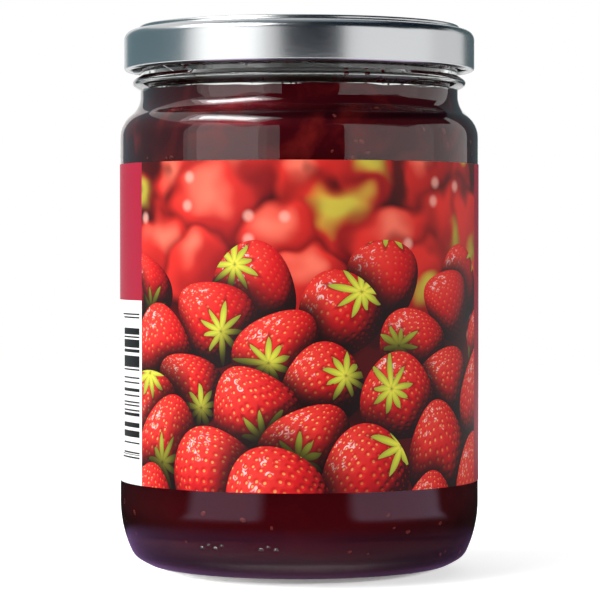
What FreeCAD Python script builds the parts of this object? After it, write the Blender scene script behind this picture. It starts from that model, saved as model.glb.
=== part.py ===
import FreeCAD, Part
import math
import os

# A filled jam jar with a twist-off lid and a paper label, in millimetres and degrees.
# +Z is up, -Y is the front. The origin is the centre of the base, at the level the jar stands on.

# --- Driving dimensions -------------------------------------------------------------------------
# Glass jar, from the neck outwards: the neck's size sets which closure fits
NECK_RADIUS = 32.9          # outside of the plain neck below the threads
SHOULDER_STEP = 4.2         # how far the body stands out past the neck
STRAIGHT_HEIGHT = 75.0      # plain cylinder between heel and shoulder
WALL = 2.7                  # glass thickness of body, shoulder and neck

# Heel: three tangent arcs from the body down to the bearing ring
HEEL_UPPER_RADIUS = 24.0
HEEL_UPPER_TURN = 25.0
HEEL_TURN_RADIUS = 4.0
HEEL_TURN_END = 59.0        # slope below the horizontal where the small arc ends
HEEL_LOWER_RADIUS = 21.8
BEARING_WIDTH = 2.2         # flat ring that the jar stands on
PUSH_UP = 2.4               # hollow of the base above that ring

# Shoulder: a convex arc that a concave one carries into the neck
SHOULDER_RADIUS = 6.0
SHOULDER_TURN = 52.0

# Inside
FLOOR_THICKNESS = 5.0       # glass at the edge of the floor
FLOOR_RISE = 1.6            # the floor's dome over the push-up
INNER_HEEL_RADIUS = 11.0

# Neck finish, upwards from the top of the shoulder
BEAD_HEIGHT = 2.7           # middle of the transfer bead above the shoulder
BEAD_OUT = 1.6              # how far the bead stands out
BEAD_TIP_RADIUS = 0.9
BEAD_FLANK = 30.0           # slope of its flanks
RIM_HEIGHT = 14.3           # top of the rim above the shoulder
RIM_FILLET = 0.8

# Threads: short helical ribs
THREADS = 4
THREAD_RADIUS = 1.15
THREAD_SINK = 1.1           # how deep the rib's round section sits in the neck
THREAD_SPAN = 72.0
THREAD_LEAD = 18.0          # rise in a full turn
LUG_PLACE = 0.6             # where along the rib the lug sits

# Jam
HEADSPACE = 15.1            # from the jam's surface up to the rim

# Lid
SHEET = 0.22                # tinplate
SKIRT_GAP = 3.15            # between the neck and the inside of the skirt
LID_DROP = 9.15             # from the rim's top down to the bottom of the curl
CURL_RADIUS = 0.7
CURL_END = -250.0           # how far round the curl goes, from the skirt on
SHOULDER_BAND = 3.1         # from the skirt in to the raised sealing ring
RING_WIDTH = 3.9            # raised sealing ring
RING_STEP = 0.95            # ring above the shoulder band, and above the centre panel
STEP_RADIUS = 0.45          # corners of the ring's outer step
STEP_SLOPE = 0.8            # width of the slanted steps round panel and button
BAND_RADIUS = 2.0           # corner between shoulder band and skirt
BUTTON_RADIUS = 14.0        # round vacuum button in the panel
BUTTON_STEP = 0.5
LUG_SPAN = 16.0
LUG_THICKNESS = 1.0
LUG_CLEARANCE = 0.45        # between lug and neck
THREAD_CLEARANCE = 0.15     # between lug and rib

# Label
PAPER = 0.15
LABEL_ABOVE_HEEL = 4.4      # from the end of the heel to the label's lower edge
LABEL_BELOW_SHOULDER = 5.5  # from its upper edge to the start of the shoulder
LABEL_OVERLAP = 6.0         # width of the glued flap at the back

# --- Sizes that follow --------------------------------------------------------------------------
BODY_RADIUS = NECK_RADIUS + SHOULDER_STEP


def sine(angle):
    return math.sin(math.radians(angle))


def cosine(angle):
    return math.cos(math.radians(angle))


HEEL_TOP = (
    HEEL_UPPER_RADIUS * sine(HEEL_UPPER_TURN)
    + HEEL_TURN_RADIUS * (sine(HEEL_TURN_END) - sine(HEEL_UPPER_TURN))
    + HEEL_LOWER_RADIUS * (1 - sine(HEEL_TURN_END))
)
BEARING_RADIUS = (
    BODY_RADIUS
    - HEEL_UPPER_RADIUS * (1 - cosine(HEEL_UPPER_TURN))
    - HEEL_TURN_RADIUS * (cosine(HEEL_UPPER_TURN) - cosine(HEEL_TURN_END))
    - HEEL_LOWER_RADIUS * cosine(HEEL_TURN_END)
)
SHOULDER_START = HEEL_TOP + STRAIGHT_HEIGHT
SHOULDER_HOLLOW = SHOULDER_STEP / (1 - cosine(SHOULDER_TURN)) - SHOULDER_RADIUS
NECK_START = SHOULDER_START + (SHOULDER_RADIUS + SHOULDER_HOLLOW) * sine(SHOULDER_TURN)
RIM_TOP = NECK_START + RIM_HEIGHT
INNER_NECK = NECK_RADIUS - WALL
INNER_BODY = BODY_RADIUS - WALL
JAM_LEVEL = RIM_TOP - HEADSPACE
SKIRT_RADIUS = NECK_RADIUS + SKIRT_GAP + SHEET
CURL_BOTTOM = RIM_TOP - LID_DROP
LUG_TOP = CURL_BOTTOM + CURL_RADIUS + LUG_THICKNESS / 2


# --- Outlines -----------------------------------------------------------------------------------
def at(centre, radius, angle):
    """Point (r, z) of a circle, its angle taken anticlockwise from the outward direction."""
    return (centre[0] + radius * cosine(angle), centre[1] + radius * sine(angle))


def in_plane(point):
    return FreeCAD.Vector(point[0], 0, point[1])


def path(*pieces):
    """Wire in the radial plane through points (r, z) and arcs (centre, radius, start, end).

    Ends that don't meet are joined by a straight line."""
    edges = []
    last = None
    for piece in pieces:
        if len(piece) == 2:
            first, finish, curve = piece, piece, None
        else:
            centre, radius, start, end = piece
            first, finish = at(centre, radius, start), at(centre, radius, end)
            middle = at(centre, radius, (start + end) / 2)
            curve = Part.Arc(in_plane(first), in_plane(middle), in_plane(finish)).toShape()
        if last is not None and math.dist(last, first) > 1e-6:
            edges.append(Part.makeLine(in_plane(last), in_plane(first)))
        if curve is not None:
            edges.append(curve)
        last = finish
    return Part.Wire(edges)


def turned(*pieces, start=0.0, span=360.0):
    """Solid turned about Z from a closed outline, from the angle start on."""
    loop = path(*pieces, pieces[0] if len(pieces[0]) == 2 else at(*pieces[0][:3]))
    solid = Part.Face(loop).revolve(FreeCAD.Vector(), FreeCAD.Vector(0, 0, 1), span)
    solid.rotate(FreeCAD.Vector(), FreeCAD.Vector(0, 0, 1), start)
    return solid


def dome(radius, edge_height, rise):
    """Arc (centre, radius, start, end) from the edge of a shallow dome up to the axis."""
    bend = (radius**2 + rise**2) / (2 * rise)
    edge = math.degrees(math.acos(radius / bend))
    return ((0.0, edge_height + rise - bend), bend, edge, 90.0)


def shoulder(inset):
    """The shoulder's two arcs, from the neck down to the body, inset from the outside."""
    hollow_centre = (NECK_RADIUS + SHOULDER_HOLLOW, NECK_START)
    bulge_centre = (BODY_RADIUS - SHOULDER_RADIUS, SHOULDER_START)
    return [
        (hollow_centre, SHOULDER_HOLLOW + inset, 180.0, 180.0 + SHOULDER_TURN),
        (bulge_centre, SHOULDER_RADIUS - inset, SHOULDER_TURN, 0.0),
    ]


# --- Jar ----------------------------------------------------------------------------------------
def bead():
    """The transfer bead's arc, from its upper flank round the tip, with its feet on the neck."""
    centre = (NECK_RADIUS + BEAD_OUT - BEAD_TIP_RADIUS, NECK_START + BEAD_HEIGHT)
    tangent = at(centre, BEAD_TIP_RADIUS, 90 - BEAD_FLANK)
    foot = tangent[1] - centre[1] + (tangent[0] - NECK_RADIUS) * math.tan(math.radians(BEAD_FLANK))
    return [
        (NECK_RADIUS, centre[1] + foot),
        (centre, BEAD_TIP_RADIUS, 90 - BEAD_FLANK, BEAD_FLANK - 90),
        (NECK_RADIUS, centre[1] - foot),
    ]


def heel():
    """The heel's three arcs, from the body down to the bearing ring."""
    upper = (BODY_RADIUS - HEEL_UPPER_RADIUS, HEEL_TOP)
    turn = at(upper, HEEL_UPPER_RADIUS - HEEL_TURN_RADIUS, -HEEL_UPPER_TURN)
    return [
        (upper, HEEL_UPPER_RADIUS, 0.0, -HEEL_UPPER_TURN),
        (turn, HEEL_TURN_RADIUS, -HEEL_UPPER_TURN, -HEEL_TURN_END),
        ((BEARING_RADIUS, HEEL_LOWER_RADIUS), HEEL_LOWER_RADIUS, -HEEL_TURN_END, -90.0),
    ]


def outside():
    """The jar as if it were solid glass."""
    push_up = dome(BEARING_RADIUS - BEARING_WIDTH, 0.0, PUSH_UP)
    return turned(
        (0.0, RIM_TOP),
        ((NECK_RADIUS - RIM_FILLET, RIM_TOP - RIM_FILLET), RIM_FILLET, 90.0, 0.0),
        *bead(),
        *shoulder(0.0),
        *heel(),
        push_up,
    )


def cavity():
    """The jar's inside, open at the rim and running on above it."""
    floor = dome(INNER_BODY - INNER_HEEL_RADIUS, FLOOR_THICKNESS, FLOOR_RISE)
    heel_centre = (INNER_BODY - INNER_HEEL_RADIUS, FLOOR_THICKNESS + INNER_HEEL_RADIUS)
    flare_centre = (INNER_NECK + RIM_FILLET, RIM_TOP - RIM_FILLET)
    above = RIM_TOP + RIM_FILLET
    return turned(
        (0.0, above),
        (INNER_NECK + RIM_FILLET, above),
        (flare_centre, RIM_FILLET, 90.0, 180.0),
        *shoulder(WALL),
        (heel_centre, INNER_HEEL_RADIUS, 0.0, -90.0),
        floor,
    )


def threads():
    """The helical ribs, rising anticlockwise as seen from above, with round ends."""
    middle = NECK_RADIUS + THREAD_RADIUS - THREAD_SINK
    rise = THREAD_LEAD * THREAD_SPAN / 360
    lug_half = THREAD_LEAD * LUG_SPAN / 720
    seat = LUG_TOP + THREAD_CLEARANCE + THREAD_RADIUS + lug_half
    low = seat - LUG_PLACE * rise
    turn = THREAD_SPAN * LUG_PLACE
    ribs = []
    for index in range(THREADS):
        spine = Part.makeHelix(THREAD_LEAD, rise, middle)
        along = FreeCAD.Vector(0, middle, THREAD_LEAD / (2 * math.pi))
        section = Part.Wire(Part.makeCircle(THREAD_RADIUS, FreeCAD.Vector(middle, 0, 0), along))
        rib = Part.Wire(spine.Edges).makePipeShell([section], True, True)
        start_ball = Part.makeSphere(THREAD_RADIUS, FreeCAD.Vector(middle, 0, 0))
        end = FreeCAD.Vector(middle * cosine(THREAD_SPAN), middle * sine(THREAD_SPAN), rise)
        rib = rib.fuse([start_ball, Part.makeSphere(THREAD_RADIUS, end)])
        rib.translate(FreeCAD.Vector(0, 0, low))
        rib.rotate(FreeCAD.Vector(), FreeCAD.Vector(0, 0, 1), index * 360 / THREADS - turn)
        ribs.append(rib)
    return ribs


def jar():
    return outside().fuse(threads()).cut(cavity())


# --- Jam ----------------------------------------------------------------------------------------
def jam():
    """Solid up to its level surface, face to face with the glass."""
    fill = Part.makeCylinder(BODY_RADIUS, JAM_LEVEL)
    return cavity().common(fill)


# --- Lid ----------------------------------------------------------------------------------------
def sheet():
    """The lid's sheet, from a flat button in the middle out over the sealing ring to the curl."""
    ring_top = RIM_TOP + SHEET
    panel = ring_top - RING_STEP
    ring_out = SKIRT_RADIUS - SHOULDER_BAND
    ring_in = ring_out - RING_WIDTH
    corner = STEP_RADIUS
    upper_face = path(
        (0.0, panel - BUTTON_STEP),
        (BUTTON_RADIUS - STEP_SLOPE, panel - BUTTON_STEP),
        (BUTTON_RADIUS, panel),
        (ring_in - STEP_SLOPE, panel),
        (ring_in, ring_top),
        ((ring_out - corner, ring_top - corner), corner, 90.0, 0.0),
        ((ring_out + corner, panel + corner), corner, 180.0, 270.0),
        ((SKIRT_RADIUS - BAND_RADIUS, panel - BAND_RADIUS), BAND_RADIUS, 90.0, 0.0),
        ((SKIRT_RADIUS - CURL_RADIUS, CURL_BOTTOM + CURL_RADIUS), CURL_RADIUS, 0.0, CURL_END),
    )
    section = upper_face.makeOffset2D(-SHEET, 2, True, True)
    return section.revolve(FreeCAD.Vector(), FreeCAD.Vector(0, 0, 1), 360)


def lugs():
    """Flat tabs that the curl is pressed into, each under one thread."""
    tip = NECK_RADIUS + LUG_CLEARANCE
    root = SKIRT_RADIUS - 1.5 * CURL_RADIUS
    half = LUG_THICKNESS / 2
    level = CURL_BOTTOM + CURL_RADIUS
    return [
        turned(
            (root, level - half),
            ((tip + half, level), half, 270.0, 90.0),
            (root, level + half),
            start=index * 360 / THREADS - LUG_SPAN / 2,
            span=LUG_SPAN,
        )
        for index in range(THREADS)
    ]


def lid():
    return sheet().fuse(lugs())


# --- Label --------------------------------------------------------------------------------------
def label():
    """A paper sleeve whose end laps over its start at the back."""
    bottom = HEEL_TOP + LABEL_ABOVE_HEEL
    top = SHOULDER_START - LABEL_BELOW_SHOULDER
    layers = []
    lap = math.degrees(LABEL_OVERLAP / BODY_RADIUS)
    for inner, start, span in ((BODY_RADIUS, 0.0, 360.0), (BODY_RADIUS + PAPER, 90.0 - lap / 2, lap)):
        corners = [(inner, bottom), (inner + PAPER, bottom), (inner + PAPER, top), (inner, top)]
        layers.append(turned(*corners, start=start, span=span))
    return layers[0].fuse(layers[1])


# --- Files --------------------------------------------------------------------------------------
def save(name, shape):
    solids = shape.Solids
    if len(solids) != 1 or not shape.isValid():
        raise RuntimeError(f"{name} isn't one valid solid")
    solids[0].exportStep(f"parts/{name}.step")
    centre = solids[0].CenterOfMass
    print(f"{name}: {solids[0].Volume / 1000:.2f} mL, centre {centre.z:.1f} mm up")


os.makedirs("parts", exist_ok=True)
for node, make in (("jar", jar), ("jam", jam), ("lid", lid), ("label", label)):
    save(node, make())
print(f"height {RIM_TOP + SHEET:.2f}, body radius {BODY_RADIUS:.2f}, jam level {JAM_LEVEL:.2f}")
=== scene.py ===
import math
import random
from functools import partial

import bpy
from bpy.props import FloatProperty, FloatVectorProperty, IntProperty, PointerProperty
from mathutils import Matrix, Quaternion, Vector, noise


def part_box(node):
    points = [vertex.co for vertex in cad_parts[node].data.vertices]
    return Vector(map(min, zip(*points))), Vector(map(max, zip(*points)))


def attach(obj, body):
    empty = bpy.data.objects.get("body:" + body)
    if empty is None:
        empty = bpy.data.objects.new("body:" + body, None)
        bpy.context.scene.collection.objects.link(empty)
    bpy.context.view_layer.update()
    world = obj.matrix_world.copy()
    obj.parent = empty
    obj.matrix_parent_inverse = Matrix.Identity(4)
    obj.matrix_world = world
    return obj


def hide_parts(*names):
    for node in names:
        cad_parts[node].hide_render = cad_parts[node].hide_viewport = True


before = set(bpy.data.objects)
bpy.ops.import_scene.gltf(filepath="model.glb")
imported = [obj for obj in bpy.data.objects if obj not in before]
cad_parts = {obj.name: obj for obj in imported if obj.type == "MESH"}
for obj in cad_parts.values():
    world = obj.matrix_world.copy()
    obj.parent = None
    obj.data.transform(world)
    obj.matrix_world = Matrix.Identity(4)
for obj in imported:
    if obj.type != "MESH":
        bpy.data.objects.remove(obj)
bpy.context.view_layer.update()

bl_info = {
    "name": "Jam Jar",
    "version": (1, 0, 0),
    "blender": (4, 5, 0),
    "location": "3D View > Sidebar > Jam Jar",
    "description": "Builds a filled jam jar with its lid and printed label round the CAD frame",
    "category": "Add Mesh",
}

MM = 0.001
WELD = 1e-6  # vertices nearer than this are one


# --- Sizes and colours --------------------------------------------------------------------------
def linear(hex_colour):
    """Linear RGBA of an sRGB hex value."""
    channels = [int(hex_colour[i : i + 2], 16) / 255 for i in (1, 3, 5)]
    return tuple(c / 12.92 if c <= 0.04045 else ((c + 0.055) / 1.055) ** 2.4 for c in channels) + (1.0,)


def size(name, description, millimetres):
    return FloatProperty(name=name, description=description, default=millimetres * MM, unit="LENGTH")


def turn(name, description, degrees):
    return FloatProperty(name=name, description=description, default=math.radians(degrees), subtype="ANGLE")


def colour(name, description, hex_colour):
    return FloatVectorProperty(
        name=name, description=description, default=linear(hex_colour), subtype="COLOR", size=4, min=0, max=1
    )


class JarSizes(bpy.types.PropertyGroup):
    """Sizes of the glass, the jam and the lid that the frame's boxes don't give."""

    wall: size("Wall", "Glass thickness of body, shoulder and neck", 2.7)
    shoulder_step: size("Shoulder step", "How far the body stands out past the neck", 4.2)
    shoulder_radius: size("Shoulder radius", "Round of the shoulder's outer curve", 6.0)
    shoulder_turn: turn("Shoulder turn", "How far the shoulder leans in", 52)
    straight: size("Straight wall", "Height of the plain cylinder", 75.0)
    heel_upper: size("Upper heel radius", "Large arc under the body", 24.0)
    heel_upper_turn: turn("Upper heel turn", "Angle that the large arc turns", 25)
    heel_corner: size("Heel corner radius", "Small arc of the heel", 4.0)
    heel_corner_end: turn("Heel corner end", "Slope where the small arc ends", 59)
    heel_lower: size("Lower heel radius", "Arc down to the bearing ring", 21.8)
    bearing: size("Bearing ring", "Width of the ring the jar stands on", 2.2)
    push_up: size("Push-up", "Hollow of the base", 2.4)
    floor: size("Floor", "Glass thickness at the floor's edge", 5.0)
    floor_rise: size("Floor rise", "Dome of the floor", 1.6)
    inner_heel: size("Inner heel radius", "Round between wall and floor inside", 11.0)
    bead_height: size("Bead height", "Transfer bead above the shoulder", 2.7)
    bead_out: size("Bead", "How far the bead stands out", 1.6)
    bead_tip: size("Bead tip radius", "Round of the bead's edge", 0.9)
    bead_flank: turn("Bead flank", "Slope of the bead's flanks", 30)
    rim_fillet: size("Rim fillet", "Round of the rim's edges", 0.8)
    thread_radius: size("Thread radius", "Round section of the thread ribs", 1.15)
    thread_sink: size("Thread sink", "Depth of the ribs in the neck", 1.1)
    thread_lead: size("Thread lead", "Rise of a rib in a full turn", 18.0)
    thread_span: turn("Thread span", "Length of each rib round the neck", 72)
    thread_start: size("Thread start", "Lowest point of a rib's middle above the shoulder", 5.9)
    fill_overlap: size("Fill overlap", "How far the jam reaches into the glass", 0.12)
    sheet: size("Sheet", "Thickness of the lid's tinplate", 0.22)
    curl: size("Curl", "Radius of the rolled edge", 0.7)
    paper: size("Paper", "Thickness of the label", 0.1)
    lap: size("Lap", "Width of the label's glued overlap", 6.0)


class JarColours(bpy.types.PropertyGroup):
    """Colours of the materials."""

    glass: colour("Glass", "Faint green of container glass", "#F6F9F7")
    jam_deep: colour("Jam, deep", "Dark jelly", "#1A0103")
    jam_fruit: colour("Jam, fruit", "Fruit close behind the glass", "#5A120E")
    seed: colour("Seed", "Seeds in the jam", "#7E2814")
    tin: colour("Tinplate", "Satin tin under clear lacquer", "#BEC0C1")
    crimson: colour("Crimson", "Plain field of the label", "#A81D38")
    berry_dark: colour("Berry shade", "Shaded side of a printed berry", "#3A0308")
    berry: colour("Berry", "Red of a printed berry", "#CE151B")
    berry_light: colour("Berry light", "Lit side of a printed berry", "#E93830")
    leaf: colour("Leaf", "Printed calyx leaves", "#C3C63C")


class JarLayout(bpy.types.PropertyGroup):
    """Where things lie on the label, measured round the jar from the front's middle."""

    picture_left: size("Picture left", "Left edge of the picture", -37.8)
    picture_right: size("Picture right", "Right edge of the picture", 47.8)
    code_width: size("Code panel width", "Width of the white panel left of the picture", 30.0)
    code_top: size("Code panel top", "Top of the white panel above the label's edge", 37.3)
    code_low: size("Code low", "Lower end of the bars above the label's edge", 6.1)
    code_high: size("Code high", "Upper end of the bars above the label's edge", 33.9)
    module: size("Bar module", "Narrowest bar of the code", 0.33)
    seed: IntProperty(name="Seed", description="Seed of every random draw", default=7)


# --- Small tools --------------------------------------------------------------------------------
# The setting that a node's mode goes to, where its kind is written with a mode, such as "Math.MULTIPLY"
MODES = {
    "Math": "operation",
    "VectorMath": "operation",
    "Mix": "data_type",
    "MapRange": "interpolation_type",
    "VectorRotate": "rotation_type",
}


def node(tree, kind, *inputs, **settings):
    """Adds a shader node. inputs are values, sRGB hex colours, nodes or sockets, in the order in which the
    node shows its inputs, or one dict by their names. A Mix takes factor, A and B, and a MapRange takes
    value, from low, from high, to low and to high."""
    kind, _, mode = kind.partition(".")
    if mode:
        settings[MODES[kind]] = mode
    new = tree.nodes.new("ShaderNode" + kind)
    for key, value in settings.items():
        setattr(new, key, value)
    shown = [socket for socket in new.inputs if socket.enabled]
    by_name = inputs and isinstance(inputs[0], dict)
    for key, value in inputs[0].items() if by_name else enumerate(inputs):
        socket = shown[key] if isinstance(key, int) else next(s for s in shown if s.name == key)
        if isinstance(value, str):
            value = linear(value)
        if isinstance(value, bpy.types.Node):
            value = next(s for s in value.outputs if s.enabled)
        if isinstance(value, bpy.types.NodeSocket):
            tree.links.new(value, socket)
        else:
            socket.default_value = value
    return new


def material(name):
    """An empty node material, and the function that adds a node to it."""
    new = bpy.data.materials.new(name)
    new.use_nodes = True
    new.node_tree.nodes.clear()
    return new, partial(node, new.node_tree)


def arc(centre, radius, start, end, steps):
    """Points (r, z) of an arc, angles in radians from the outward direction, anticlockwise."""
    return [
        (centre[0] + radius * math.cos(a), centre[1] + radius * math.sin(a))
        for a in (start + (end - start) * i / steps for i in range(steps + 1))
    ]


def pick(*pieces):
    """Selects only these pieces. The first is the active one."""
    bpy.ops.object.select_all(action="DESELECT")
    for piece in pieces:
        piece.select_set(True)
    bpy.context.view_layer.objects.active = pieces[0]


def begin(name, primitive, **settings):
    """Adds a primitive with nothing else selected, names it and opens it in edit mode."""
    bpy.ops.object.select_all(action="DESELECT")
    primitive(**settings)
    piece = bpy.context.active_object
    piece.name = name
    piece.data.name = name
    bpy.ops.object.mode_set(mode="EDIT")
    return piece


def close(piece, smooth=math.radians(35)):
    """Welds, turns the faces outwards and leaves edit mode."""
    bpy.ops.mesh.select_all(action="SELECT")
    bpy.ops.mesh.remove_doubles(threshold=WELD)
    bpy.ops.mesh.normals_make_consistent(inside=False)
    bpy.ops.object.mode_set(mode="OBJECT")
    bpy.ops.object.shade_smooth_by_angle(angle=smooth)
    return piece


def lathe(name, outline, steps, span=2 * math.pi, cap=False):
    """Draws the outline (r, z) by extruding a vertex along it, then spins it about Z."""
    piece = begin(name, bpy.ops.mesh.primitive_plane_add, size=MM)
    bpy.ops.mesh.merge(type="CENTER")
    bpy.ops.transform.translate(value=(outline[0][0], 0, outline[0][1]))
    for (r0, z0), (r1, z1) in zip(outline, outline[1:]):
        step = (r1 - r0, 0, z1 - z0)
        if math.hypot(*step) > WELD:
            bpy.ops.mesh.extrude_vertices_move(TRANSFORM_OT_translate={"value": step})
    bpy.ops.mesh.select_all(action="SELECT")
    if cap:
        bpy.ops.mesh.remove_doubles(threshold=WELD)
        bpy.ops.mesh.edge_face_add()
    bpy.ops.mesh.spin(steps=steps, angle=span, center=(0, 0, 0), axis=(0, 0, 1))
    return close(piece)


def apply_modifier(piece, kind, **settings):
    """Gives the piece a modifier and applies it."""
    pick(piece)
    modifier = piece.modifiers.new(kind.title(), kind)
    for key, value in settings.items():
        setattr(modifier, key, value)
    bpy.ops.object.modifier_apply(modifier=modifier.name)


def join(name, pieces):
    """Joins pieces into the first, which takes the name."""
    pick(*pieces)
    bpy.ops.object.join()
    pieces[0].name = name
    pieces[0].data.name = name
    return pieces[0]


def settle(piece):
    """Puts the piece's place and turn into its mesh."""
    pick(piece)
    bpy.ops.object.transform_apply(location=True, rotation=True, scale=True)


def fit(piece, finish, replaced=None):
    """Hands a finished piece to the frame with its material."""
    piece.data.materials.clear()
    piece.data.materials.append(finish)
    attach(piece, "root")
    if replaced:
        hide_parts(replaced)


# --- Outlines of the jar ------------------------------------------------------------------------
class Glass:
    """The jar's main points, worked out from the frame's boxes and the sizes."""

    def __init__(self, sizes):
        self.s = sizes
        self.rim_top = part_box("jar")[1].z
        self.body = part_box("jar")[1].x
        self.neck = self.body - sizes.shoulder_step
        a, b = sizes.heel_upper_turn, sizes.heel_corner_end
        self.heel_top = (
            sizes.heel_upper * math.sin(a)
            + sizes.heel_corner * (math.sin(b) - math.sin(a))
            + sizes.heel_lower * (1 - math.sin(b))
        )
        self.bearing = (
            self.body
            - sizes.heel_upper * (1 - math.cos(a))
            - sizes.heel_corner * (math.cos(a) - math.cos(b))
            - sizes.heel_lower * math.cos(b)
        )
        self.shoulder_start = self.heel_top + sizes.straight
        lean = sizes.shoulder_turn
        self.hollow = sizes.shoulder_step / (1 - math.cos(lean)) - sizes.shoulder_radius
        self.neck_start = self.shoulder_start + (sizes.shoulder_radius + self.hollow) * math.sin(lean)

    def shoulder(self, inset):
        """The shoulder from the body up to the neck."""
        s = self.s
        bulge = (self.body - s.shoulder_radius, self.shoulder_start)
        hollow = (self.neck + self.hollow, self.neck_start)
        lean = s.shoulder_turn
        return arc(bulge, s.shoulder_radius - inset, 0, lean, 12) + arc(
            hollow, self.hollow + inset, math.pi + lean, math.pi, 12
        )

    def heel(self):
        """The heel from the bearing ring up to the body."""
        s = self.s
        a, b = s.heel_upper_turn, s.heel_corner_end
        upper = (self.body - s.heel_upper, self.heel_top)
        reach = s.heel_upper - s.heel_corner
        corner = (upper[0] + reach * math.cos(a), upper[1] - reach * math.sin(a))
        return (
            arc((self.bearing, s.heel_lower), s.heel_lower, -math.pi / 2, -b, 16)
            + arc(corner, s.heel_corner, -b, -a, 10)
            + arc(upper, s.heel_upper, -a, 0, 16)
        )

    def bead(self):
        """The transfer bead from its lower flank up."""
        s = self.s
        centre = (self.neck + s.bead_out - s.bead_tip, self.neck_start + s.bead_height)
        lean = math.pi / 2 - s.bead_flank
        tip = arc(centre, s.bead_tip, -lean, lean, 14)
        foot = tip[-1][1] - centre[1] + (tip[-1][0] - self.neck) * math.tan(s.bead_flank)
        return [(self.neck, centre[1] - foot)] + tip + [(self.neck, centre[1] + foot)]

    def dome(self, radius, low, rise, steps=16):
        """A shallow dome from the axis out to its edge."""
        bend = (radius**2 + rise**2) / (2 * rise)
        edge = math.acos(radius / bend)
        return arc((0, low + rise - bend), bend, math.pi / 2, edge, steps)

    def inside(self, grow=0.0):
        """The inside from the middle of the floor up to the neck, pushed out by grow."""
        s = self.s
        wall = self.body - s.wall
        floor = s.floor - grow
        corner = (wall - s.inner_heel, s.floor + s.inner_heel)
        return (
            self.dome(wall - s.inner_heel, floor, s.floor_rise)
            + arc(corner, s.inner_heel + grow, -math.pi / 2, 0, 16)
            + self.shoulder(s.wall - grow)
        )

    def shell(self):
        """The whole glass: under the base, up the outside, over the rim and down the inside."""
        s = self.s
        rim_out = (self.neck - s.rim_fillet, self.rim_top - s.rim_fillet)
        rim_in = (self.neck - s.wall + s.rim_fillet, self.rim_top - s.rim_fillet)
        return (
            self.dome(self.bearing - s.bearing, 0, s.push_up)
            + self.heel()
            + self.shoulder(0)
            + self.bead()
            + arc(rim_out, s.rim_fillet, 0, math.pi / 2, 6)
            + arc(rim_in, s.rim_fillet, math.pi / 2, math.pi, 6)
            + self.inside()[::-1]
        )


# --- Materials ----------------------------------------------------------------------------------
def container_glass(tint):
    """Clear soda-lime container glass, pressed and fire-polished, so its skin is very smooth.

    Lamps reach through it to the jam by a transparent shader on shadow rays."""
    new, add = material("clear_container_glass")
    coords = add("TexCoord")
    waves = add("TexNoise", {"Vector": coords.outputs["Object"], "Scale": 90.0, "Detail": 1.0})
    bump = add("Bump", {"Height": waves, "Strength": 0.06, "Distance": 0.2 * MM})
    glass = add(
        "BsdfPrincipled",
        {"Base Color": tint, "Roughness": 0.0, "IOR": 1.52, "Transmission Weight": 1.0, "Normal": bump}
    )
    clear = add("BsdfTransparent", (0.9, 0.92, 0.91, 1))
    path = add("LightPath")
    both = add("MixShader", path.outputs["Is Shadow Ray"], glass, clear)
    add("OutputMaterial", both)
    return new


def strawberry_jam(deep, fruit):
    """Cooked strawberry jam: dark jelly with paler fruit close behind the glass, wet on top."""
    new, add = material("strawberry_jam")
    coords = add("TexCoord")
    lumps = add(
        "TexNoise", {"Vector": coords.outputs["Object"], "Scale": 95.0, "Detail": 4.0, "Distortion": 0.8}
    )
    place = add("SeparateXYZ", coords.outputs["Object"])
    rise = add("MapRange", place.outputs["Z"], 0.02, 0.09, 0.1)
    pieces = add("MapRange", lumps, 0.5, 0.72)
    share = add("Math.MULTIPLY", pieces, rise)
    mixed = add("Mix.RGBA", share, deep, fruit)
    bump = add("Bump", {"Height": lumps, "Strength": 0.3, "Distance": 0.4 * MM})
    surface = add(
        "BsdfPrincipled",
        {
            "Base Color": mixed, "Roughness": 0.3, "Specular IOR Level": 0.38, "Specular Tint": "#FF3448",
            "Normal": bump
        }
    )
    add("OutputMaterial", surface)
    return new


def strawberry_seed(shade):
    """Strawberry seeds soaked in syrup: small hard achenes, orange-brown and glossy."""
    new, add = material("soaked_strawberry_seed")
    coords = add("TexCoord")
    lot = add("TexNoise", {"Vector": coords.outputs["Object"], "Scale": 60.0})
    tone = add("Mix.RGBA", lot, "#5A140A", shade)
    surface = add("BsdfPrincipled", {"Base Color": tone, "Roughness": 0.3, "Specular IOR Level": 0.2})
    add("OutputMaterial", surface)
    return new


def tinplate(tin):
    """Tinplate under clear lacquer: a satin metal with faint marks from rolling."""
    new, add = material("lacquered_tinplate")
    coords = add("TexCoord")
    grain = add("Mapping", {"Vector": coords.outputs["Object"], "Scale": (400.0, 400.0, 3000.0)})
    marks = add("TexNoise", {"Vector": grain, "Scale": 1.0, "Detail": 3.0})
    rough = add("MapRange", marks, 0.0, 1.0, 0.2, 0.27)
    bump = add("Bump", {"Height": marks, "Strength": 0.05, "Distance": 0.05 * MM})
    surface = add(
        "BsdfPrincipled", {"Base Color": tin, "Metallic": 1.0, "Roughness": rough, "Normal": bump}
    )
    add("OutputMaterial", surface)
    return new


def inner_lacquer_and_shade():
    """Epoxy-phenolic lacquer baked on the lid's inside: a dark gold-brown film over the tin, partly the
    lacquer's own colour and partly painted shade for the dark inside of the closed lid.
    """
    new, add = material("lacquer_and_painted_shade")
    coords = add("TexCoord")
    flow = add("TexNoise", {"Vector": coords.outputs["Object"], "Scale": 300.0, "Detail": 2.0})
    # dark browns: the lacquer's tone, darkened further as painted shade
    tone = add("Mix.RGBA", flow, "#2E1F14", "#4A3420")
    surface = add("BsdfPrincipled", {"Base Color": tone, "Roughness": 0.45, "Specular IOR Level": 0.3})
    add("OutputMaterial", surface)
    return new


# --- Label print --------------------------------------------------------------------------------
# Fields of the label, in millimetres from the front's middle and above the lower edge
TABLE = (60.0, 102.0), (7.0, 58.0)  # the back table's white panel: across, up
RULED = (62.5, 99.5), (10.8, 54.2)
HEADING = (62.5, 99.5), (50.5, 54.2)

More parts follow.
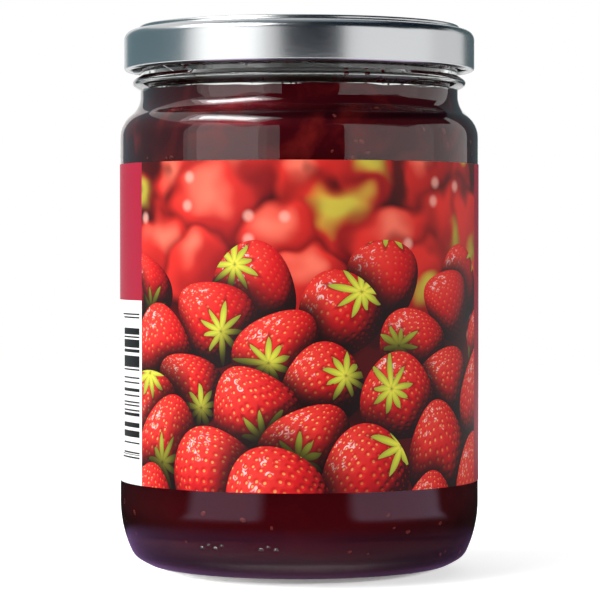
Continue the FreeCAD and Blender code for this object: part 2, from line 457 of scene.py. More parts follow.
# Rows of printed berries from the back of the heap to its front, in millimetres:
# height of the row's middle above the label's lower edge, width of a berry, share of a cell shifted
SOFT_ROWS = [(64.0, 15.0, 0.0), (61.0, 15.0, 0.5), (53.0, 15.0, 0.2), (49.5, 14.0, 0.7), (43.0, 13.5, 0.4)]
SHARP_ROWS = [
    (39.5, 14.0, 0.9),
    (35.0, 14.5, 0.15),
    (28.5, 15.5, 0.65),
    (22.5, 16.0, 0.3),
    (16.0, 16.0, 0.8),
    (9.0, 17.0, 0.45),
    (2.5, 18.5, 0.05),
    (-4.5, 18.0, 0.6),
]
LIGHT = Vector((-0.42, 0.62, 0.66))  # where the printed heap is lit from: across, up, out of the paper


def berry_row(add, u, v, row, number):
    """One row's berries. Gives each point's place on its berry as on a unit disc, the distance from
    its middle and the berry's random number. The disc's upper end is the berry's broad end."""
    height, width, shift = row
    pitch = 1.8 * width
    slack = 0.32 * width
    along = add("Math.MULTIPLY_ADD", u, 1 / pitch, shift)
    cell = add("Math.FLOOR", along)
    key = add("CombineXYZ", cell, 3.7 * number)
    draw = add("TexWhiteNoise", key, noise_dimensions="2D")
    within = add("Math.FRACT", along)
    across = add("Math.MULTIPLY_ADD", within, pitch, -pitch / 2)
    here = add("CombineXYZ", across, v)
    middle = add(
        "VectorMath.MULTIPLY_ADD", draw.outputs["Color"], (slack, slack, 0),
        (-slack / 2, height - slack / 2, 0)
    )
    local = add("VectorMath.SUBTRACT", here, middle)
    angle = add("Math.MULTIPLY", draw.outputs["Value"], 2 * math.pi)
    turned = add("VectorRotate.Z_AXIS", {"Vector": local, "Angle": angle})
    third = add("SeparateColor", draw.outputs["Color"])
    grow = add("MapRange", third.outputs["Blue"], 0.0, 1.0, 2.2 / width, 1.75 / width)
    unit = add("VectorMath.SCALE", turned, grow)
    parts = add("SeparateXYZ", unit)
    taper = add("Math.MULTIPLY_ADD", parts.outputs["Y"], 0.27, 1.0)
    slim = add("Math.DIVIDE", parts.outputs["X"], taper)
    long = add("Math.MULTIPLY", parts.outputs["Y"], 0.88)
    disc = add("CombineXYZ", slim, long)
    reach = add("VectorMath.LENGTH", disc)
    return disc, reach, draw.outputs["Value"]


def soft_berries(add, u, v):
    """The far rows, out of focus: soft discs with a lit side, a pale spot and some leaf."""
    here = add("CombineXYZ", u, v)
    hollow = add("TexNoise", {"Vector": here, "Scale": 0.085, "Detail": 1.5}, noise_dimensions="2D")
    depth = add("MapRange.SMOOTHSTEP", hollow, 0.5, 0.38, 0.0, 0.9)
    waver = add("TexNoise", {"Vector": here, "Scale": 0.11, "Detail": 1.0}, noise_dimensions="2D")
    swayed = add("VectorMath.MULTIPLY_ADD", waver.outputs["Color"], (9.0, 9.0, 0), here)
    moved = add("VectorMath.SUBTRACT", swayed, (4.5, 4.5, 0))
    bent = add("SeparateXYZ", moved)
    picture = "#4A0A0D"
    for number, row in enumerate(SOFT_ROWS):
        if number == 2:  # dark hollows lie among the farthest berries
            picture = add("Mix.RGBA", depth, picture, "#300A0C")
        blur = 0.30 - 0.035 * number
        disc, reach, lot = berry_row(add, bent.outputs["X"], bent.outputs["Y"], row, number + 20)
        angle = add("Math.MULTIPLY", lot, -2 * math.pi)
        upright = add("VectorRotate.Z_AXIS", {"Vector": disc, "Angle": angle})
        lit = add("VectorMath.DOT_PRODUCT", upright, LIGHT)
        shade = add("MapRange.SMOOTHSTEP", lit, -0.75, 0.55)
        body = add("Mix.RGBA", shade, "#8A0E14", "#DE2F27")
        aside = add("VectorMath.DISTANCE", upright, (-0.22, 0.42, 0))
        spot = add("MapRange.SMOOTHSTEP", aside, 0.7, 0.05, 0.0, 0.85)
        shown = add("Math.GREATER_THAN", lot, 0.45)
        glow = add("Math.MULTIPLY", spot, shown)
        bright = add("Mix.RGBA", glow, body, "#FA7A62")
        end = add("VectorMath.DISTANCE", disc, (0.1, 0.55, 0))
        leaf = add("MapRange.SMOOTHSTEP", end, 0.62, 0.2, 0.0, 0.9)
        leafy = add("Math.LESS_THAN", lot, 0.5)
        green = add("Math.MULTIPLY", leaf, leafy)
        berry = add("Mix.RGBA", green, bright, "#C9BE45")
        dim = add("MapRange.SMOOTHSTEP", reach, 0.9, 1.5, 0.45)
        behind = add("Mix.RGBA", dim, "#2A0508", picture)
        cover = add("MapRange.SMOOTHSTEP", reach, 1 + blur, 1 - blur)
        picture = add("Mix.RGBA", cover, behind, berry)

    # small pale discs where wet spots catch the light
    spots = add("TexVoronoi", {"Vector": here, "Scale": 0.15, "Randomness": 0.6}, voronoi_dimensions="2D")
    disc = add("MapRange.SMOOTHSTEP", spots.outputs["Distance"], 0.24, 0.06, 0.0, 0.6)
    lot = add("SeparateColor", spots.outputs["Color"])
    some = add("Math.GREATER_THAN", lot, 0.7)
    shown = add("Math.MULTIPLY", disc, some)
    return add("Mix.RGBA", shown, picture, "#FFB9A8")


def sharp_berries(add, u, v, far, colours):
    """The near rows. Each hides what lies behind, so that seeds, shine and leaves are drawn once,
    on the berry that shows."""
    disc, lot, light, cover = (0.0, 0.0, 0.0), 0.0, 1.0, 0.0
    for number, row in enumerate(SHARP_ROWS):
        here, reach, draw = berry_row(add, u, v, row, number)
        inside = add("Math.LESS_THAN", reach, 1.0)
        dim = add("MapRange.SMOOTHSTEP", reach, 0.95, 1.6, 0.04)
        shaded = add("Math.MULTIPLY", dim, light)
        light = add("Mix.FLOAT", inside, shaded, 1.0)
        disc = add("Mix.VECTOR", inside, disc, here)
        lot = add("Mix.FLOAT", inside, lot, draw)
        cover = add("Math.MAXIMUM", cover, inside)

    # the berry as a ball: its normal turned back upright, and its skin unrolled for the seeds
    square = add("VectorMath.DOT_PRODUCT", disc, disc)
    rest = add("Math.SUBTRACT", 1.0, square, use_clamp=True)
    out = add("Math.SQRT", rest)
    angle = add("Math.MULTIPLY", lot, -2 * math.pi)
    upright = add("VectorRotate.Z_AXIS", {"Vector": disc, "Angle": angle})
    depth = add("CombineXYZ", {"Z": out})
    normal = add("VectorMath.ADD", upright, depth)
    unroll = add("MapRange", square, 0.0, 1.0, 4.6, 7.0)
    skin = add("VectorMath.SCALE", disc, unroll)
    shift = add("Math.MULTIPLY", lot, 90.0)
    own = add("VectorMath.ADD", skin, shift)
    seeds = add("TexVoronoi", {"Vector": own, "Scale": 1.0, "Randomness": 0.5}, voronoi_dimensions="2D")
    clearness = add("MapRange", v, 24.0, 44.0, 1.0, 0.3)

    # each seed sits in a pit, whose slope is lit on the side away from the light
    from_seed = add("VectorMath.SUBTRACT", own, seeds.outputs["Position"])
    slope = add("VectorRotate.Z_AXIS", {"Vector": from_seed, "Angle": angle})
    facing = add("VectorMath.DOT_PRODUCT", slope, (-LIGHT.x, -LIGHT.y, 0))
    pit = add("MapRange.SMOOTHSTEP", seeds.outputs["Distance"], 0.55, 0.2, 0.0, 1.1)
    dent = add("Math.MULTIPLY", pit, clearness)
    relief = add("Math.MULTIPLY", facing, dent)
    lit = add("VectorMath.DOT_PRODUCT", normal, LIGHT)
    full = add("Math.ADD", lit, relief)
    skin_ramp = add("ValToRGB", full)
    dark, lit_side = colours.berry_dark, colours.berry_light
    paint_ramp(skin_ramp, ((0.0, dark), (0.28, "#960C14"), (0.62, colours.berry), (0.98, lit_side)))
    seed_share = add("MapRange.SMOOTHSTEP", seeds.outputs["Distance"], 0.2, 0.1, 0.0, 0.75)
    seed_seen = add("Math.MULTIPLY", seed_share, clearness)
    seed_ramp = add("ValToRGB", full)
    paint_ramp(seed_ramp, ((0.1, "#7A1C12"), (0.6, "#E0743A"), (0.95, "#F8C878")))
    seeded = add("Mix.RGBA", seed_seen, skin_ramp, seed_ramp)

    # wet shine: rings on the pits' rims round the brightest place, filled in at its middle
    broken = add("TexNoise", {"Vector": own, "Scale": 0.9, "Detail": 2.0}, noise_dimensions="2D")
    wet = add("Math.MULTIPLY_ADD", broken, 0.75, lit)
    zone = add("MapRange.SMOOTHSTEP", wet, 1.35, 1.47)
    core = add("MapRange.SMOOTHSTEP", wet, 1.5, 1.57)
    rim = add("Math.COMPARE", seeds.outputs["Distance"], 0.38, 0.11)
    glint = add("Math.MAXIMUM", rim, core)
    patch = add("Math.MULTIPLY", glint, zone)
    shine = add("Math.MULTIPLY", patch, 0.75)
    shiny = add("Mix.RGBA", shine, seeded, "#FFE2DE")

    # calyx: nine pointed leaves round a spot near the broad end, on some of the berries
    pick = add("Math.MULTIPLY", lot, 31.7)
    place = add("Math.FRACT", pick)
    high = add("MapRange", place, 0.0, 1.0, 0.25, 1.9)
    spot = add("CombineXYZ", 0.08, high)
    away = add("VectorMath.SUBTRACT", disc, spot)
    sides = add("SeparateXYZ", away)
    bearing = add("Math.ARCTAN2", sides.outputs["X"], sides.outputs["Y"])
    wave = add("Math.MULTIPLY_ADD", bearing, 9 / (2 * math.pi), shift)
    swing = add("Math.PINGPONG", wave, 0.5)
    uneven = add("TexNoise", {"W": bearing, "Scale": 1.7, "Detail": 0.0}, noise_dimensions="1D")
    point = add("Math.MULTIPLY", swing, uneven)
    tip = add("MapRange", point, 0.0, 0.36, 0.17, 0.72)
    gone = add("VectorMath.LENGTH", away)
    ratio = add("Math.DIVIDE", gone, tip)
    on_leaf = add("Math.LESS_THAN", ratio, 1.0)
    leaf_ramp = add("ValToRGB", ratio)
    paint_ramp(
        leaf_ramp,
        ((0.0, "#6E7A1E"), (0.16, "#E6DC4E"), (0.6, colours.leaf), (1.0, "#9DA93C")),
    )
    under = add("MapRange.SMOOTHSTEP", ratio, 1.0, 1.35, 0.45)
    shadowed = add("Mix.RGBA", under, "#4A060A", shiny)
    leafed = add("Mix.RGBA", on_leaf, shadowed, leaf_ramp)

    near = add("Mix.RGBA", light, "#180D0E", leafed)
    return add("Mix.RGBA", cover, far, near)


def paint_ramp(ramp, stops):
    """Sets a colour ramp's stops."""
    elements = ramp.color_ramp.elements
    while len(elements) < len(stops):
        elements.new(0.5)
    for element, (position, shade) in zip(elements, stops):
        element.position = position
        element.color = linear(shade) if isinstance(shade, str) else shade


def between(add, value, low, high):
    """1 where value lies between low and high."""
    above = add("Math.GREATER_THAN", value, low)
    below = add("Math.LESS_THAN", value, high)
    return add("Math.MULTIPLY", above, below)


def field(add, u, v, across, up):
    """1 inside a rectangle of the label."""
    wide = between(add, u, *across)
    tall = between(add, v, *up)
    return add("Math.MULTIPLY", wide, tall)


def printed_label(length, height, layout, colours):
    """Coated label paper with a four-colour print under a thin varnish: a heap of strawberries on a
    crimson wrap, with a white panel for the bar code."""
    new, add = material("varnished_label_paper")
    uv = add("UVMap", uv_map="UVMap")
    metric = add("VectorMath.MULTIPLY_ADD", uv, (length / MM, height / MM, 0), (-length / MM / 2, 0, 0))
    parts = add("SeparateXYZ", metric)
    u, v = parts.outputs["X"], parts.outputs["Y"]
    far = soft_berries(add, u, v)
    heap = sharp_berries(add, u, v, far, colours)

    left, right = layout.picture_left / MM, layout.picture_right / MM
    top, width = layout.code_top / MM, layout.code_width / MM
    picture = between(add, u, left, right)
    plain = add("Mix.RGBA", picture, colours.crimson, heap)
    white = "#F7F7F5"
    panel = field(add, u, v, (left - width, left), (-1, top))
    with_panel = add("Mix.RGBA", panel, plain, white)
    line = add("Math.MULTIPLY", v, MM / layout.module)
    count = add("Math.FLOOR", line)
    draw = add("TexWhiteNoise", count, noise_dimensions="1D")
    dark = add("Math.GREATER_THAN", draw.outputs["Value"], 0.45)
    low, high, guard = layout.code_low / MM, layout.code_high / MM, 0.9
    bars_across, guards_across = (left - 9.9, left - 1.0), (left - 10.9, left - 1.0)
    area = field(add, u, v, bars_across, (low, high))
    ticks = add("Math.MODULO", line, 2.0)
    tick = add("Math.LESS_THAN", ticks, 1.0)
    first = field(add, u, v, guards_across, (low - guard, low))
    last = field(add, u, v, guards_across, (high, high + guard))
    ends = add("Math.ADD", first, last)
    guards = add("Math.MULTIPLY", ends, tick)
    bars = add("Math.MULTIPLY_ADD", dark, area, guards)
    coded = add("Mix.RGBA", bars, with_panel, "#101010")

    # a bare table on the back: a white panel ruled with fine lines
    table = field(add, u, v, *TABLE)
    ruled = add("Mix.RGBA", table, coded, white)
    row_height, rule, column = 3.6, 0.28, 88.0
    row = add("Math.MODULO", v, row_height)
    line = add("Math.LESS_THAN", row, rule)
    post = add("Math.COMPARE", u, column, rule / 2)
    grid = add("Math.MAXIMUM", line, post)
    within = field(add, u, v, *RULED)
    rules = add("Math.MULTIPLY", grid, within)
    lined = add("Mix.RGBA", rules, ruled, "#3A3A3A")
    head = field(add, u, v, *HEADING)
    inked = add("Mix.RGBA", head, lined, colours.crimson)

    fibre = add("TexNoise", {"Vector": metric, "Scale": 3.0, "Detail": 4.0})
    rough = add("MapRange", fibre, 0.0, 1.0, 0.36, 0.46)
    bump = add("Bump", {"Height": fibre, "Strength": 0.08, "Distance": 0.05 * MM})
    surface = add(
        "BsdfPrincipled",
        {"Base Color": inked, "Roughness": rough, "Specular IOR Level": 0.14, "Normal": bump}
    )
    add("OutputMaterial", surface)
    return new


# --- Pieces -------------------------------------------------------------------------------------
class MESH_OT_jam_jar_glass(bpy.types.Operator):
    """Spin the jar from its outline and unite the thread ribs and mould dots with it"""

    bl_idname = "mesh.jam_jar_glass"
    bl_label = "Glass Jar"
    bl_options = {"REGISTER", "UNDO"}

    def execute(self, context):
        scene = context.scene
        glass = Glass(scene.jam_jar_sizes)
        jar = lathe("glass_jar", glass.shell(), 192)
        relief = [self.rib(glass, index) for index in range(4)] + self.mould_dots(glass)
        extra = join("glass_relief", relief)
        apply_modifier(jar, "BOOLEAN", operation="UNION", object=extra, solver="EXACT", use_self=True)
        bpy.data.objects.remove(extra)
        pick(jar)
        bpy.ops.object.shade_smooth_by_angle(angle=math.radians(35))
        fit(jar, container_glass(scene.jam_jar_colours.glass), "jar")
        return {"FINISHED"}

    def rib(self, glass, index):
        """One thread rib: a round section screwed up the neck, tapered to a point at both ends."""
        s = glass.s
        middle = glass.neck + s.thread_radius - s.thread_sink
        low = glass.neck_start + s.thread_start
        rib = begin(
            f"rib_{index}",
            bpy.ops.mesh.primitive_circle_add,
            vertices=16,
            radius=s.thread_radius,
            location=(middle, 0, low),
            rotation=(math.pi / 2, 0, 0),
        )
        bpy.ops.object.mode_set(mode="OBJECT")
        settle(rib)
        rise = s.thread_lead * s.thread_span / (2 * math.pi)
        steps = 40
        apply_modifier(rib, "SCREW", angle=s.thread_span, screw_offset=rise, steps=steps, render_steps=steps)
        taper = math.radians(7)
        for vertex in rib.data.vertices:
            angle = math.atan2(vertex.co.y, vertex.co.x)
            end = min(angle, s.thread_span - angle) / taper
            keep = math.sqrt(max(0.0, 1 - max(0.0, 1 - end) ** 2))
            centre = Vector((math.cos(angle), math.sin(angle), 0)) * middle
            centre.z = low + rise * angle / s.thread_span
            vertex.co = centre + (vertex.co - centre) * keep
        bpy.ops.object.mode_set(mode="EDIT")
        bpy.ops.mesh.select_all(action="SELECT")
        bpy.ops.mesh.remove_doubles(threshold=WELD)
        bpy.ops.mesh.normals_make_consistent(inside=False)
        bpy.ops.object.mode_set(mode="OBJECT")
        rib.rotation_euler.z = index * math.pi / 2 - s.thread_span * 0.6
        settle(rib)
        return rib

    def mould_dots(self, glass):
        """Two short groups of low dots that the mould leaves on the heel."""
        dots = []
        drop, sunk, spread, dot_radius = 7 * MM, 1.1 * MM, 2.4, 0.55 * MM
        height = glass.heel_top - drop
        radius = glass.body - sunk
        for first, count in ((-32.0, 4), (-12.0, 3)):
            for index in range(count):
                angle = math.radians(first + spread * index - 90)
                place = (radius * math.cos(angle), radius * math.sin(angle), height + 0.6 * MM * (index % 2))
                dot = begin(
                    "dot",
                    bpy.ops.mesh.primitive_uv_sphere_add,
                    segments=16,
                    ring_count=8,
                    radius=dot_radius,
                    location=place,
                )
                bpy.ops.object.mode_set(mode="OBJECT")
                settle(dot)
                dots.append(dot)
        return dots


class MESH_OT_jam_jar_fill(bpy.types.Operator):
    """Spin the jam a little into the glass, raise its edge, and set seeds in its skin"""

    bl_idname = "mesh.jam_jar_fill"
    bl_label = "Jam"
    bl_options = {"REGISTER", "UNDO"}

    def execute(self, context):
        scene = context.scene
        colours = scene.jam_jar_colours
        glass = Glass(scene.jam_jar_sizes)
        wall = glass.inside(glass.s.fill_overlap)
        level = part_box("jam")[1].z
        edge = self.wall_radius(wall, level)
        climb, run, thin = 1.9 * MM, 2.2 * MM, 0.02 * MM  # its raised edge: up, inwards, off the wall
        lip = [(edge, level), (edge - thin, level + climb)]
        fall = [(edge - thin - run * t, level + climb * (1 - t) ** 2) for t in (0.1, 0.25, 0.45, 0.7, 1.0)]
        top = [(fall[-1][0] * t, level) for t in (0.85, 0.7, 0.55, 0.4, 0.25, 0.1, 0.0)]
        jam = lathe("jam_fill", [p for p in wall if p[1] < level] + lip + fall + top, 160)
        ripple, fineness = 0.6 * MM, 160
        for vertex in jam.data.vertices:
            if vertex.co.z > level - 0.05 * MM:
                vertex.co.z += ripple * noise.noise(vertex.co * fineness)
        finish = strawberry_jam(colours.jam_deep, colours.jam_fruit)
        fit(jam, finish, "jam")

        draw = random.Random(scene.jam_jar_layout.seed)
        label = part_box("label")
        bands = ((label[1].z, level - 1.5 * MM, 50), (6 * MM, label[0].z, 45))
        places = [(draw.uniform(low, high), 0.02 * MM) for low, high, count in bands for _ in range(count)]
        seeds = self.scatter("jam_seeds", wall, places, (0.5 * MM, 0.34 * MM, 0.22 * MM), draw)
        fit(seeds, strawberry_seed(colours.seed))
        bare = glass.inside()
        places = [(level + draw.uniform(1.2, 8.5) * MM, 0.1 * MM) for _ in range(170)]
        spatter = self.scatter("jam_spatter", bare, places, (0.36 * MM, 0.5 * MM, 0.16 * MM), draw)
        fit(spatter, finish)
        return {"FINISHED"}

    def wall_radius(self, wall, height):
        """Radius of the outline at a height, which stays the last one above its end."""
        for (r0, z0), (r1, z1) in zip(wall, wall[1:]):
            if z0 < height <= z1:
                return r0 + (r1 - r0) * (height - z0) / (z1 - z0)
        return wall[-1][0]

    def scatter(self, name, wall, places, radii, draw):
        """Copies one small flattened bead round the wall, sunk a little, each turned and sized apart."""
        first = begin(name, bpy.ops.mesh.primitive_ico_sphere_add, subdivisions=2, radius=1.0)
        bpy.ops.transform.resize(value=radii)
        bpy.ops.mesh.select_all(action="DESELECT")
        bpy.ops.object.mode_set(mode="OBJECT")
        bpy.ops.object.shade_smooth()
        copies = [first]
        for height, sunk in places:
            copy = first.copy()
            copy.data = first.data.copy()
            bpy.context.collection.objects.link(copy)
            angle, spin = draw.uniform(0, 2 * math.pi), draw.uniform(0, math.pi)
            radius = self.wall_radius(wall, height) - sunk
            outward = Vector((math.cos(angle), math.sin(angle), 0))
            turned = outward.to_track_quat("Z", "Y") @ Quaternion((0, 0, 1), spin)
            scale = Matrix.Scale(draw.uniform(0.6, 1.3), 4)
            place = Matrix.Translation((*(outward * radius).xy, height))
            copy.matrix_world = place @ turned.to_matrix().to_4x4() @ scale
            settle(copy)
            copies.append(copy)
        bpy.data.objects.remove(copies.pop(0))
        return join(name, copies)


class MESH_OT_jam_jar_lid(bpy.types.Operator):
    """Spin the lid's sheet with its curl, and press in the lugs"""

    bl_idname = "mesh.jam_jar_lid"
    bl_label = "Twist-off Lid"
    bl_options = {"REGISTER", "UNDO"}

    def execute(self, context):
        scene = context.scene
        sizes = scene.jam_jar_sizes
        low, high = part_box("lid")
        shell = lathe("tin_lid", self.sheet(sizes, low.z, high), 192)
        lugs = [self.lug(sizes, low.z, high.x, index) for index in range(4)]
        lid = join("tin_lid", [shell] + lugs)
        fit(lid, tinplate(scene.jam_jar_colours.tin), "lid")
        lid.data.materials.append(inner_lacquer_and_shade())
        # faces inside the lid take the dark lacquer: its own colour with painted shade for the closed lid's
        # dark inside
        for face in lid.data.polygons:
            middle, normal = face.center, face.normal
            inward = normal.x * middle.x + normal.y * middle.y < 0 and middle.xy.length > 0.9 * high.x
            if middle.z > low.z + 2 * sizes.curl and (normal.z < -0.3 or inward and normal.z < 0.3):
                face.material_index = 1
        return {"FINISHED"}

    def face(self, sizes, bottom, high, inset):
        """The lid's outer face from the axis to the end of the curl, moved into the sheet by inset."""
        step, half = math.pi / 2, math.pi
        skirt, top = high.x, high.z
        ring_step, ring_width, shoulder_band = 0.95 * MM, 3.9 * MM, 3.1 * MM
        panel = top - ring_step
        ring_out = skirt - shoulder_band
        ring_in = ring_out - ring_width
        corner, band, curl = 0.45 * MM, 2.0 * MM, sizes.curl
        button, dip, slope = 14 * MM, 0.5 * MM, 0.8 * MM
        pressed = [
            (0, panel - dip - inset),
            (button - slope, panel - dip - inset),
            (button, panel - inset),
            (ring_in - slope, panel - inset),
            (ring_in, top - inset),
            (ring_out - corner, top - inset),
        ]
        return (
            self.bent(pressed, 0.35 * MM)[:-1]
            + arc((ring_out - corner, top - corner), corner - inset, step, 0, 6)
            + arc((ring_out + corner, panel + corner), corner + inset, half, half + step, 6)
            + arc((skirt - band, panel - band), band - inset, step, 0, 10)
            + arc((skirt - curl, bottom + curl), curl - inset, 0, -math.radians(250), 20)
        )

    def bent(self, points, reach):
        """Rounds each corner of a line of points, with one more point on each side to keep the flats flat."""
        line = [Vector(point) for point in points]
        soft = [line[0]]
        for before, here, after in zip(line, line[1:], line[2:]):
            back, ahead = (before - here).normalized() * reach, (after - here).normalized() * reach
            start, end = here + back, here + ahead
            shares = (0, 0.25, 0.5, 0.75, 1)
            bend = [start * (1 - t) ** 2 + here * 2 * t * (1 - t) + end * t**2 for t in shares]
            soft += [start + 0.3 * back] + bend + [end + 0.3 * ahead]
        return [tuple(point) for point in soft + [line[-1]]]

    def sheet(self, sizes, bottom, high):
        """Both faces of the sheet as one outline."""
        outer = self.face(sizes, bottom, high, 0)
        inner = self.face(sizes, bottom, high, sizes.sheet)
        return outer + inner[::-1]

    def lug(self, sizes, bottom, skirt, index):
        """A flat tab with a round lip, turned through its width."""
        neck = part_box("jar")[1].x - sizes.shoulder_step
        half = 0.5 * MM
        level = bottom + sizes.curl
        root, tip = skirt - 1.5 * sizes.curl, neck + 0.45 * MM
        outline = [(root, level - half)]
        outline += arc((tip + half, level), half, -math.pi / 2, -3 * math.pi / 2, 8)
        outline += [(root, level + half), (root, level - half)]
        span = math.radians(16)
        tab = lathe(f"lug_{index}", outline, 12, span=span, cap=True)
        tab.rotation_euler.z = index * math.pi / 2 - span / 2
        settle(tab)
        return tab


class MESH_OT_jam_jar_label(bpy.types.Operator):
    """Wrap a sheet of label paper round the body, its end over its start at the back"""

    bl_idname = "mesh.jam_jar_label"
    bl_label = "Paper Label"
    bl_options = {"REGISTER", "UNDO"}

    def execute(self, context):
        scene = context.scene
        sizes, layout = scene.jam_jar_sizes, scene.jam_jar_layout
        low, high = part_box("label")
        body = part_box("jar")[1].x
        height = high.z - low.z
        turn_length = 2 * math.pi * body
        length = turn_length + sizes.lap
        grid = {"x_subdivisions": 288, "y_subdivisions": 6, "size": 1.0}
        sheet = begin("paper_label", bpy.ops.mesh.primitive_grid_add, **grid)
        bpy.ops.transform.resize(value=(length, height, 1))
        bpy.ops.mesh.select_all(action="DESELECT")
        bpy.ops.object.mode_set(mode="OBJECT")
        for vertex in sheet.data.vertices:
            along = vertex.co.x
            climb = min(1.0, max(0.0, (along - (length / 2 - sizes.lap - 1.5 * MM)) / (1.5 * MM)))
            radius = body + sizes.paper * (1 + climb)
            angle = along / body - math.pi / 2
            vertex.co = (radius * math.cos(angle), radius * math.sin(angle), low.z + height / 2 + vertex.co.y)
        apply_modifier(sheet, "SOLIDIFY", thickness=0.95 * sizes.paper, offset=-1.0)
        bpy.ops.object.shade_smooth_by_angle(angle=math.radians(35))
        finish = printed_label(length, height, layout, scene.jam_jar_colours)
        fit(sheet, finish, "label")
        return {"FINISHED"}


# --- Stage --------------------------------------------------------------------------------------
# Softboxes: name, azimuth and elevation in degrees, distance, width and height in metres, brightness
LAMPS = (
    ("left_softbox", -46, 8, 0.9, 0.68, 0.9, 0.75),
    ("left_softbox_fringe", -47, 8, 0.91, 0.92, 0.95, 0.32),
    ("right_softbox", 62, 8, 0.9, 1.1, 0.9, 0.25),
    ("top_strip", -60, 51, 0.7, 0.42, 0.12, 13.0),
    ("top_strip_glow", -60, 51, 0.71, 0.56, 0.22, 4.5),
    ("top_strip_fringe", -60, 51, 0.72, 0.72, 0.3, 1.6),
)
# Cards that only reflections show: the same, with a colour for the brightness
NAVY, STEEL = "#0B1D2C", "#54696F"
CARDS = (
    ("card_behind_camera", 8, 5, 0.95, 0.69, 0.95, NAVY),
    ("card_left", -116, 8, 0.95, 1.5, 0.95, "#758E97"),
    ("card_above", 20, 58, 0.8, 2.2, 0.8, NAVY),
    ("card_overhead", 20, 98, 0.82, 2.2, 0.44, "#95A2A9"),
    ("card_right_above", 90, 48, 0.85, 1.0, 0.65, NAVY),
    ("card_right_behind", 129, 50, 0.9, 0.75, 0.55, NAVY),
    ("card_right", 150, 8, 0.95, 0.55, 0.95, STEEL),
)


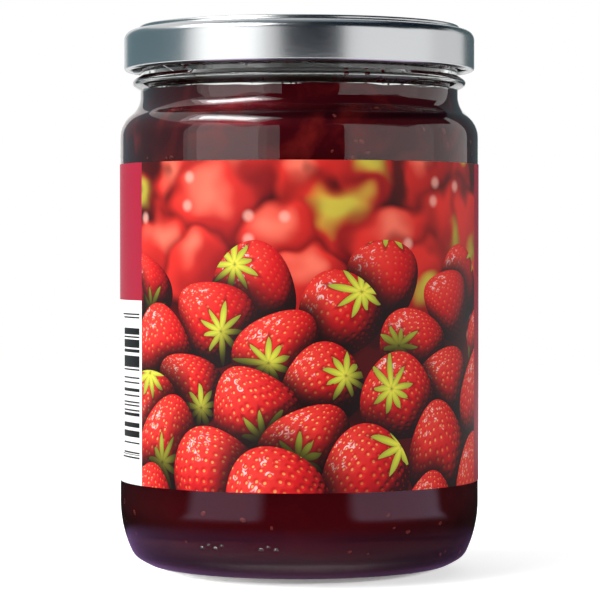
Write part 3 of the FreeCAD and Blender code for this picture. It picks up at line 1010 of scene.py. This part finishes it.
class SCENE_OT_jam_jar_stage(bpy.types.Operator):
    """Set the floor, white surroundings, soft lamps, dark cards and the camera"""

    bl_idname = "scene.jam_jar_stage"
    bl_label = "Studio Stage"
    bl_options = {"REGISTER", "UNDO"}

    def execute(self, context):
        self.surroundings(context.scene)
        self.floor()
        for name, azimuth, elevation, distance, across, up, glow in LAMPS:
            self.lamp(name, azimuth, elevation, distance, across, up, glow)
        for name, azimuth, elevation, distance, across, up, shade in CARDS:
            self.card(name, linear(shade), azimuth, elevation, distance, across, up)
        self.ring_card()
        self.camera(context.scene)
        return {"FINISHED"}

    def surroundings(self, scene):
        """White where the camera looks, reflects or sees through, and softer on matt surfaces."""
        world = bpy.data.worlds.new("white_studio")
        scene.world = world
        world.use_nodes = True
        world.node_tree.nodes.clear()
        add = partial(node, world.node_tree)
        strength = add("MapRange", self.direct(add), 0.0, 1.0, 0.45)
        light = add("Background", (1, 1, 1, 1), strength)
        add("OutputWorld", light)
        scene.view_settings.view_transform = "Standard"

    def direct(self, add):
        """1 on rays that the camera sends out, and on those that metal or glass sends on."""
        path = add("LightPath")
        seen = add("Math.MAXIMUM", path.outputs["Is Camera Ray"], path.outputs["Is Glossy Ray"])
        return add("Math.MAXIMUM", seen, path.outputs["Is Transmission Ray"])

    def floor(self):
        """A pale floor that reads white, keeps the jar's shadow and fades into the white beyond."""
        floor = begin("floor", bpy.ops.mesh.primitive_plane_add, size=3.0)
        bpy.ops.mesh.subdivide(number_cuts=2)
        bpy.ops.object.mode_set(mode="OBJECT")
        new, add = material("white_paper_floor")
        matt = add("BsdfDiffuse", "#F4F4F4")
        lift = add("Math.MULTIPLY", self.direct(add), 0.6)
        glow = add("Emission", (1, 1, 1, 1), lift)
        both = add("AddShader", matt, glow)
        place = add("TexCoord")
        away = add("VectorMath.LENGTH", place.outputs["Object"])
        fade = add("MapRange.SMOOTHSTEP", away.outputs["Value"], 0.35, 1.1)
        clear = add("BsdfTransparent", (1, 1, 1, 1))
        edge = add("MixShader", fade, both, clear)
        add("OutputMaterial", edge)
        floor.data.materials.append(new)

    def aim(self, thing, azimuth, elevation, distance):
        """Puts a lamp or card round the jar's middle and turns it to face it. Azimuth 0 is the front."""
        a, e = math.radians(azimuth), math.radians(elevation)
        ray = Vector((math.sin(a) * math.cos(e), -math.cos(a) * math.cos(e), math.sin(e)))
        thing.location = Vector((0, 0, 0.06)) + ray * distance
        thing.rotation_euler = ray.to_track_quat("Z", "Y").to_euler()

    def lamp(self, name, azimuth, elevation, distance, across, up, glow):
        """A rectangular softbox. glow is its brightness, where 1 is white."""
        bpy.ops.object.light_add(type="AREA")
        lamp = bpy.context.active_object
        lamp.name = name
        lamp.data.shape = "RECTANGLE"
        lamp.data.size, lamp.data.size_y = across, up
        lamp.data.energy = glow * math.pi * across * up
        lamp.visible_camera = False
        self.aim(lamp, azimuth, elevation, distance)

    def card(self, name, shade, azimuth, elevation, distance, across, up):
        """A dark card that shows only in reflections."""
        card = begin(name, bpy.ops.mesh.primitive_plane_add, size=1.0)
        bpy.ops.transform.resize(value=(across, up, 1))
        bpy.ops.object.mode_set(mode="OBJECT")
        new, add = material("dark_" + name)
        matt = add("Emission", shade, 1.0)
        add("OutputMaterial", matt)
        card.data.materials.append(new)
        self.unseen(card)
        self.aim(card, azimuth, elevation, distance)
        return card

    def ring_card(self):
        """A ring low round the jar that shows only in the heel's reflections: a painted reflection of the
        floor, dark near the jar for its shade, plum on the left, with bright patches farther out towards the
        softboxes for their light.
        """
        inner, outer = 30 * MM, 300 * MM
        rim = {"vertices": 64, "radius": inner, "location": (0, 0, MM)}
        card = begin("card_below", bpy.ops.mesh.primitive_circle_add, **rim)
        bpy.ops.mesh.extrude_region_move()
        bpy.ops.transform.resize(value=(outer / inner, outer / inner, 1), center_override=(0, 0, 0))
        bpy.ops.object.mode_set(mode="OBJECT")
        settle(card)
        new, add = material("dark_card_below")
        coords = add("TexCoord")
        parts = add("SeparateXYZ", coords.outputs["Object"])
        # plum on the left to dark on the right: the floor's painted shade as the heel reflects it
        share = add("MapRange", parts.outputs["X"], -0.05, 0.08)
        tone = add("Mix.RGBA", share, "#8E6FA8", "#14101A")
        front = add("Math.MULTIPLY", parts.outputs["Y"], -1.0)
        bearing = add("Math.ARCTAN2", parts.outputs["X"], front)
        away = add("VectorMath.LENGTH", coords.outputs["Object"])
        beyond, far = (
            add("MapRange.SMOOTHSTEP", away.outputs["Value"], start * MM, end * MM) for start,
            end in ((50, 75), (80, 125))
        )
        # bright patches towards the two softboxes: painted light on the floor, seen only in reflections
        lit = 0.0
        for middle, half in ((-44, 22), (60, 30)):
            aside = add("Math.ADD", bearing, -math.radians(middle))
            off = add("Math.ABSOLUTE", aside)
            window = add("MapRange.SMOOTHSTEP", off, math.radians(half + 5), math.radians(half - 5))
            lit = add("Math.ADD", window, lit)
        shown = add("Math.MULTIPLY", lit, far)
        plain = add("Mix.RGBA", beyond, tone, "#1E1E20")
        sheet = add("Mix.RGBA", shown, plain, "#F0DCFF")
        glow = add("Emission", sheet, 1.0)
        add("OutputMaterial", glow)
        card.data.materials.append(new)
        self.unseen(card)

    def unseen(self, card):
        """Lets a card show in reflections only."""
        card.visible_camera = False
        card.visible_diffuse = False
        card.visible_transmission = False
        card.visible_shadow = False

    def camera(self, scene):
        """A long lens level with the middle of the jar, looking slightly down."""
        bpy.ops.object.camera_add()
        camera = bpy.context.active_object
        camera.data.sensor_width = 36.0
        camera.data.lens = 169.0
        camera.location = (0.00015, -0.5857, 0.0677)
        camera.rotation_euler = (math.radians(90 - 1.1), 0, 0)
        scene.camera = camera


# --- Add-on -------------------------------------------------------------------------------------
class VIEW3D_PT_jam_jar(bpy.types.Panel):
    """Lists the jar's pieces and settings"""

    bl_label = "Jam Jar"
    bl_space_type = "VIEW_3D"
    bl_region_type = "UI"
    bl_category = "Jam Jar"

    def draw(self, context):
        for operator in STEPS:
            self.layout.operator(operator.bl_idname)
        for name in SETTINGS:
            box = self.layout.box()
            group = getattr(context.scene, name)
            for key in group.bl_rna.properties.keys():
                if key not in ("rna_type", "name"):
                    box.prop(group, key)


STEPS = (
    MESH_OT_jam_jar_glass,
    MESH_OT_jam_jar_fill,
    MESH_OT_jam_jar_lid,
    MESH_OT_jam_jar_label,
    SCENE_OT_jam_jar_stage,
)
SETTINGS = {"jam_jar_sizes": JarSizes, "jam_jar_colours": JarColours, "jam_jar_layout": JarLayout}


def register():
    for cls in (*SETTINGS.values(), *STEPS, VIEW3D_PT_jam_jar):
        bpy.utils.register_class(cls)
    for name, group in SETTINGS.items():
        setattr(bpy.types.Scene, name, PointerProperty(type=group))


def unregister():
    for name in SETTINGS:
        delattr(bpy.types.Scene, name)
    for cls in (VIEW3D_PT_jam_jar, *reversed(STEPS), *SETTINGS.values()):
        bpy.utils.unregister_class(cls)


def main():
    register()
    bpy.ops.mesh.jam_jar_glass()
    bpy.ops.mesh.jam_jar_fill()
    bpy.ops.mesh.jam_jar_lid()
    bpy.ops.mesh.jam_jar_label()
    bpy.ops.scene.jam_jar_stage()


if __name__ == "__main__":
    main()
